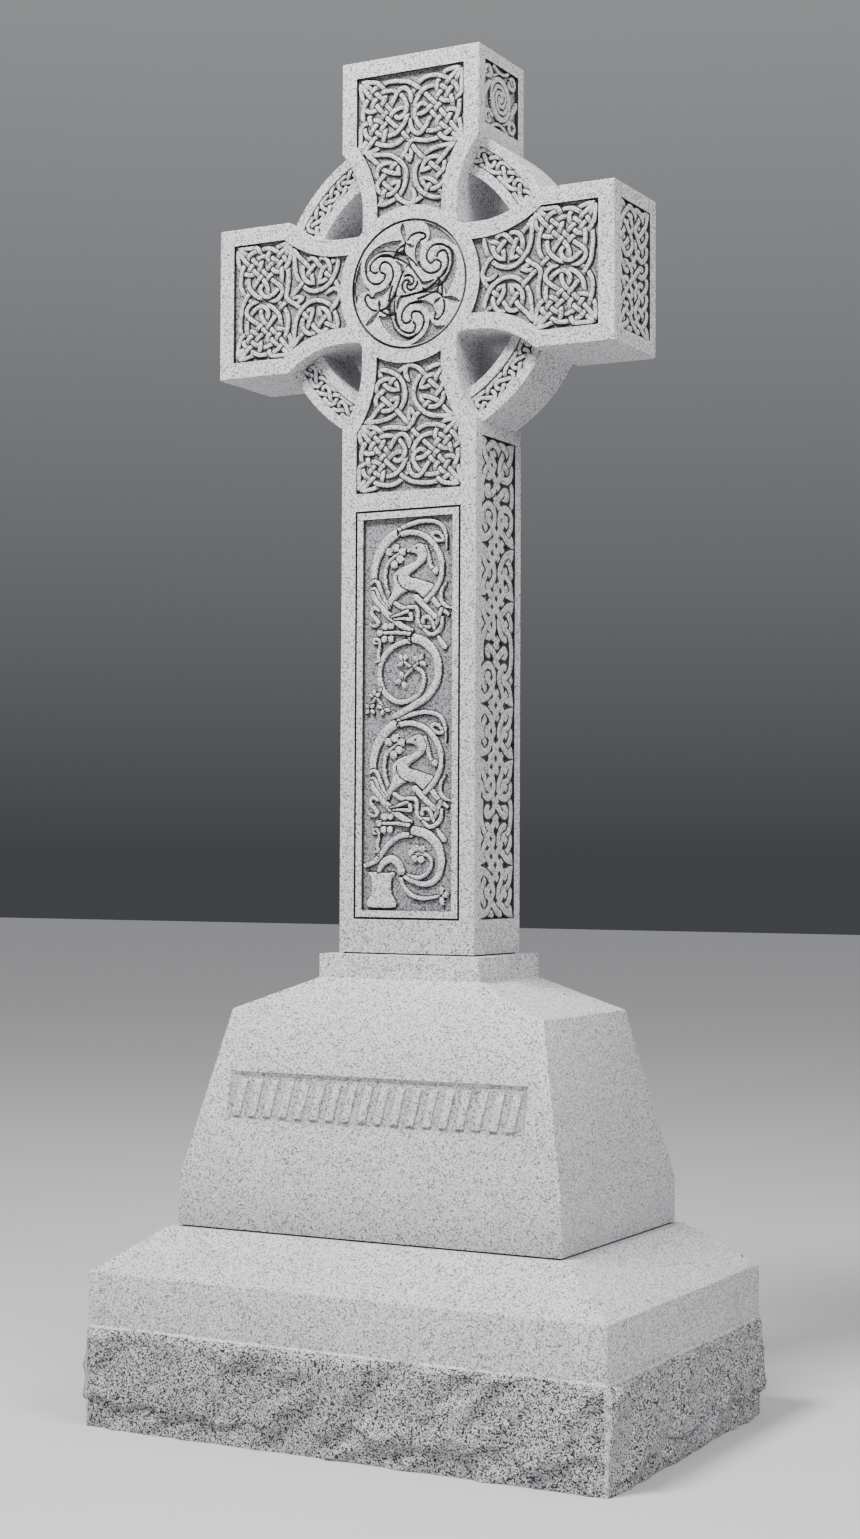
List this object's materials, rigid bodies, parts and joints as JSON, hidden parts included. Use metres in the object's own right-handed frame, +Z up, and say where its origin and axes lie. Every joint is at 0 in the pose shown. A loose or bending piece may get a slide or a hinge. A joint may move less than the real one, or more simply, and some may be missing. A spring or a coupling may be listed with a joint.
{
  "type": "celtic cross gravestone",
  "caption": "Ring-headed granite cross with sunk interlace panels, on a tapering die stone and a wide rock-pitched base stone.",
  "frame": {"origin": "on the ground under the middle of the base stone", "axes": "+Z up the shaft, front with the carved panels towards -Y, +X to the right seen from the front"},
  "size_m": [1.584, 1.076, 3.707],
  "materials": {
    "dressed_granite": "fine-punched light grey granite",
    "base_granite": "punched and rock-pitched light grey granite"
  },
  "bodies": {
    "root": {"base_stone": "base_granite", "die_stone": "dressed_granite", "cross": "dressed_granite"}
  },
  "joints": []
}
